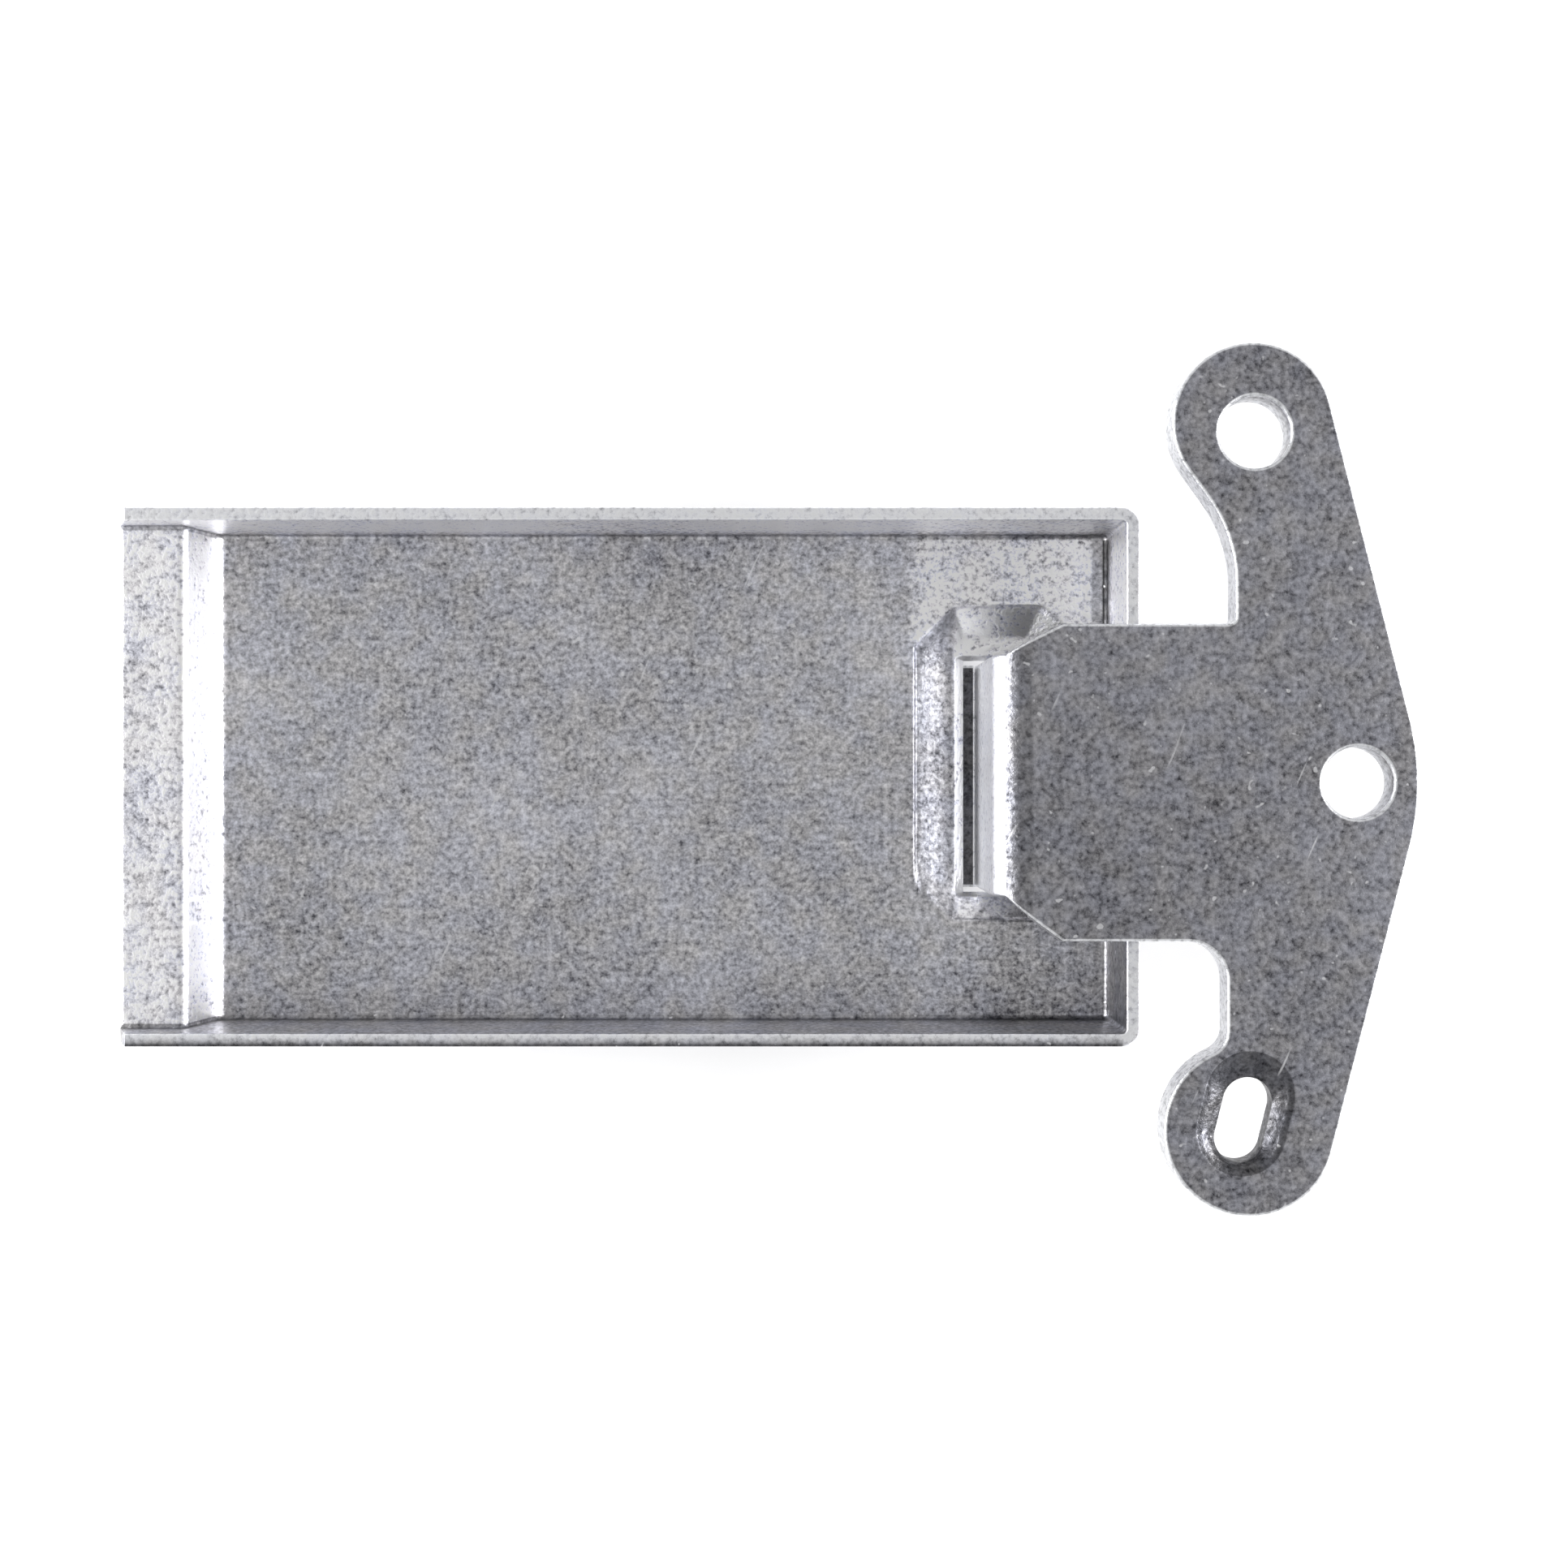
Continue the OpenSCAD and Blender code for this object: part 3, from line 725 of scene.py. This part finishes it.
def make_latch_arm():
    """Tray stamping: a web with lip, riser, pocket and slot, and one wall round three sides."""
    bm = bmesh.new()
    wear_and_highlight = bm.verts.layers.float.new("wear_and_highlight")
    painted_light_and_shade = bm.verts.layers.float.new("painted_light_and_shade")
    columns, rows = arm_columns(), arm_rows()
    snapped(rows, SLOT_MID_Y - SLOT_W / 2)
    snapped(rows, SLOT_MID_Y + SLOT_W / 2)
    last, top_row = len(columns) - 1, len(rows) - 1

    upper, lower = [], []
    for xu, zu, xl, zl in columns:
        upper_column, lower_column = [], []
        for y in rows:
            drop = pocket_drop(xu, y) if xu > POCKET_X[0] - 1 else 0.0
            inside_sides = smooth((SIDE - FOLD_R - abs(y - ARM_MID_Y)) / 3)
            inside_end = smooth((END_OUTER - FOLD_R - xu) / 1.5)
            warp = web_warp(xu, y) * inside_sides * inside_end * (1 if xu > WEB_LEFT + 3 else 0)
            sag = lip_droop(xu)
            upper_column.append(bm.verts.new((xu, y, zu - drop - slot_roll(xu, y) + warp - sag)))
            lower_column.append(bm.verts.new((xl, y, zl - drop + warp - sag)))
            upper_column[-1][painted_light_and_shade] = web_painted_shading(xu, y)
        upper.append(upper_column)
        lower.append(lower_column)

    def shade_wall(line_in, line_out, kind, sign, y):
        """Painted shade in the folds and on the end wall's lower half, a painted highlight on the upper
        half of the walls and on the rims, and painted shade on the lower rim's outer edge.
        """
        upper_half = smooth((y - ARM_MID_Y + 8) / 16)
        if kind == "end":
            fold_share = 1 + 0.8 * upper_half
        else:
            fold_share = 1 if sign < 0 else 0.3
        for vertex in line_in[:5]:
            vertex[painted_light_and_shade] = FOLD_PAINTED_SHADE * fold_share
        for vertex in line_in[5:8]:
            if kind == "end":
                vertex[painted_light_and_shade] = END_WALL_PAINTED_SHADE * (1 - upper_half) + RISER_AND_END_PAINTED_HIGHLIGHT * upper_half
            elif sign > 0:
                vertex[painted_light_and_shade] = UPPER_WALL_PAINTED_HIGHLIGHT
        for vertex in line_in[8:] + line_out[8:]:
            vertex[painted_light_and_shade] = RIM_PAINTED_HIGHLIGHT
        if kind == "side" and sign < 0:
            for vertex in line_out[8:]:
                vertex[painted_light_and_shade] = LOW_RIM_PAINTED_SHADE
                vertex[wear_and_highlight] = 0.0

    def in_slot(k, j):
        x = (columns[k][0] + columns[k + 1][0]) / 2
        y = (rows[j] + rows[j + 1]) / 2
        return abs(x - SLOT_X) < SLOT_LEN / 2 and abs(y - SLOT_MID_Y) < SLOT_W / 2

    for k in range(last):
        for j in range(top_row):
            if in_slot(k, j):
                continue
            for grid in (upper, lower):
                bm.faces.new((grid[k][j], grid[k + 1][j], grid[k + 1][j + 1], grid[k][j + 1]))
            for dk, dj, a, b in NEIGHBOURS:
                nk, nj = k + dk, j + dj
                if 0 <= nk < last and 0 <= nj < top_row and in_slot(nk, nj):
                    ka, ja, kb, jb = k + a[0], j + a[1], k + b[0], j + b[1]
                    bm.faces.new((upper[ka][ja], upper[kb][jb], lower[kb][jb], lower[ka][ja]))
    for j in range(top_row):
        bm.faces.new((upper[0][j], upper[0][j + 1], lower[0][j + 1], lower[0][j]))

    # Stations of the walls: along one side, round the corner, along the end, and back
    stations = [("side", 1, k, 0) for k in range(last + 1)]
    stations += [("corner", 1, last, a) for a in range(15, 90, 15)]
    stations += [("end", 1, j, 0) for j in range(top_row, -1, -1)]
    stations += [("corner", -1, last, a) for a in range(75, 0, -15)]
    stations += [("side", -1, k, 0) for k in range(last, -1, -1)]

    def place_of(kind, sign, index, angle, depth, z, outside):
        reach = FOLD_R - depth
        if kind == "side":
            column = columns[index]
            x = column[2] if outside else column[0]
            return (raked(x, z), ARM_MID_Y + sign * (SIDE - depth), z)
        if kind == "end":
            return (END_OUTER - depth, rows[index], z)
        a = math.radians(angle)
        y = ARM_MID_Y + sign * (SIDE - FOLD_R + reach * math.cos(a))
        return (END_OUTER - FOLD_R + reach * math.sin(a), y, z)

    inner_lines, outer_lines = [], []
    for kind, sign, index, angle in stations:
        if kind == "end":
            web = (last, index)
        else:
            web = (index, top_row if sign > 0 else 0)
        column = columns[web[0]]
        sag = lip_droop(column[0])
        inner, outer = wall_profile(column[1] - sag, column[3] - sag, RIM)
        line_in = [bm.verts.new(place_of(kind, sign, index, angle, d, z, False)) for d, z in inner]
        line_out = [bm.verts.new(place_of(kind, sign, index, angle, d, z, True)) for d, z in outer]
        # Wear colour with a painted highlight on the rims' rolled tops
        for vertex in line_in + line_out:
            vertex[wear_and_highlight] = 1.0 if vertex.co.z > RIM - RIM_ROLL else 0.0
        shade_wall(line_in, line_out, kind, sign, rows[index] if kind == "end" else 0.0)
        inner_lines.append([upper[web[0]][web[1]]] + line_in)
        outer_lines.append([lower[web[0]][web[1]]] + line_out)

    def skin(a, b, c, d):
        corners = list(dict.fromkeys((a, b, c, d)))
        if len(corners) >= 3:
            bm.faces.new(corners)

    for lines in (inner_lines, outer_lines):
        for one, two in zip(lines, lines[1:]):
            for i in range(len(one) - 1):
                skin(one[i], one[i + 1], two[i + 1], two[i])
    for p in range(len(stations) - 1):
        skin(inner_lines[p][-1], outer_lines[p][-1], outer_lines[p + 1][-1], inner_lines[p + 1][-1])
    for p in (0, len(stations) - 1):
        for i in range(len(inner_lines[p]) - 1):
            skin(inner_lines[p][i], inner_lines[p][i + 1], outer_lines[p][i + 1], outer_lines[p][i])
    return piece_from("arm_stamping", bm, arm_zinc, "arm", "latch_arm")


# ---------------------------------------------------------------- studio

FLOOR_HALF, FLOOR_GAP, FLOOR_GLOW = 1.5, 0.0002, 0.2
PANEL_STRENGTH = 1.8
CAMERA_X, CAMERA_Y, CAMERA_ABOVE_WEB = -43.9, -0.1, 150.0


def make_floor():
    """Plain white sheet under the latch."""
    half = FLOOR_HALF
    height = cad_bounds[0].z - FLOOR_GAP
    mesh = bpy.data.meshes.new("floor")
    corners = [(-half, -half, height), (half, -half, height), (half, half, height), (-half, half, height)]
    mesh.from_pydata(corners, [], [(0, 1, 2, 3)])
    floor = bpy.data.objects.new("floor", mesh)
    bpy.context.scene.collection.objects.link(floor)
    material = bpy.data.materials.new("white_sheet")
    material.use_nodes = True
    shader = material.node_tree.nodes["Principled BSDF"]
    shader.inputs["Base Color"].default_value = (0.95, 0.95, 0.95, 1)
    shader.inputs["Roughness"].default_value = 0.9
    shader.inputs["Emission Color"].default_value = (1, 1, 1, 1)
    shader.inputs["Emission Strength"].default_value = FLOOR_GLOW
    mesh.materials.append(material)


def make_world():
    """Pale room with a dimmer ceiling, and a large soft panel low on the left and on the right."""
    world = bpy.data.worlds.new("room")
    bpy.context.scene.world = world
    world.use_nodes = True
    tree = world.node_tree
    tree.nodes.clear()
    add = node_maker(tree)
    ramp = ramp_maker(add)
    direction = add("ShaderNodeTexCoord").outputs["Generated"]
    axes = add("ShaderNodeSeparateXYZ", {"Vector": direction})
    room = ramp(axes.outputs["Z"], [(0.0, 0.8), (0.65, 0.8), (0.85, 0.66), (1.0, 0.52)])
    sideways = add("ShaderNodeMath", {"Value": axes.outputs["X"]}, operation="ABSOLUTE").outputs[0]
    panels = ramp(sideways, [(0.8, 0.0), (0.97, 1.0)])
    room_light = add("ShaderNodeBackground", {"Color": room, "Strength": 1.0})
    panel_light = add("ShaderNodeBackground", {"Color": panels, "Strength": PANEL_STRENGTH})
    both = add("ShaderNodeAddShader")
    tree.links.new(room_light.outputs["Background"], both.inputs[0])
    tree.links.new(panel_light.outputs["Background"], both.inputs[1])
    add("ShaderNodeOutputWorld", {"Surface": both.outputs["Shader"]})


def make_light(name, place, aim, size, power):
    """Soft square panel that looks at a point; places are in metres."""
    light = bpy.data.lights.new(name, "AREA")
    light.size = size
    light.energy = power
    obj = bpy.data.objects.new(name, light)
    obj.location = place
    obj.rotation_euler = (Vector(aim) - Vector(place)).to_track_quat("-Z", "Y").to_euler()
    bpy.context.scene.collection.objects.link(obj)


def make_camera():
    """Straight down, close enough that the walls show inside the rims."""
    camera = bpy.data.cameras.new("camera")
    camera.sensor_width = 36.0
    camera.lens = 41.6
    camera.clip_start = 0.01
    obj = bpy.data.objects.new("camera", camera)
    obj.location = Vector((CAMERA_X, CAMERA_Y, WEB_TOP + CAMERA_ABOVE_WEB)) * MM
    bpy.context.scene.collection.objects.link(obj)
    bpy.context.scene.camera = obj


make_mounting_plate()
make_latch_arm()
make_floor()
make_world()
make_light("left_panel", (-0.75, 0.05, 0.16), (-0.05, 0, 0), 0.3, 4.5)
make_light("right_panel", (0.7, 0.0, 0.19), (-0.05, 0, 0), 0.3, 6.0)
make_camera()
bpy.context.scene.view_settings.view_transform = "Standard"
